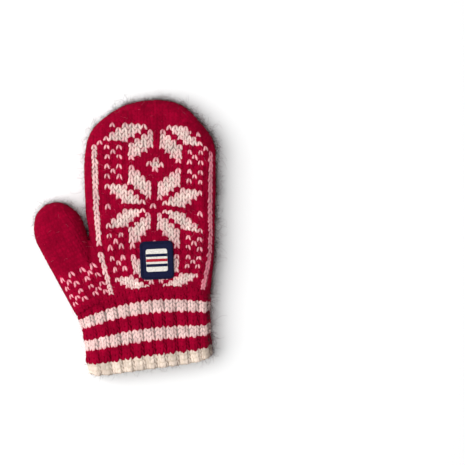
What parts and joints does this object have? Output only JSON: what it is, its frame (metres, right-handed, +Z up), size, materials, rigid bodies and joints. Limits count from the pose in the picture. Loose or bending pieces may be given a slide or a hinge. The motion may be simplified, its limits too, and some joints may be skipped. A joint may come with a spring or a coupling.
{
  "type": "mitten",
  "caption": "Knitted mitten for the right hand: flattened hand rounded off at the fingertips, gusseted thumb, ribbed striped cuff and a woven patch on the back.",
  "frame": {"origin": "middle of the part's box on the surface that it lies on", "axes": "+X across the hand, away from the thumb; +Y from the cuff's mouth to the fingertips; +Z up, out of the back of the hand"},
  "size_m": [0.1532, 0.2296, 0.0254],
  "materials": {
    "patterned_knit": "crimson and cream wool, slightly felted stranded knit with a star pattern",
    "thumb_knit": "crimson wool, slightly felted plain knit with cream motifs on the gusset",
    "rib_knit": "ribbed wool in crimson and cream bands",
    "woven_label": "navy woven patch with a plain border and stripes"
  },
  "bodies": {
    "root": {"cuff": "rib_knit", "hand": "patterned_knit", "thumb": "thumb_knit", "label": "woven_label"}
  },
  "joints": []
}
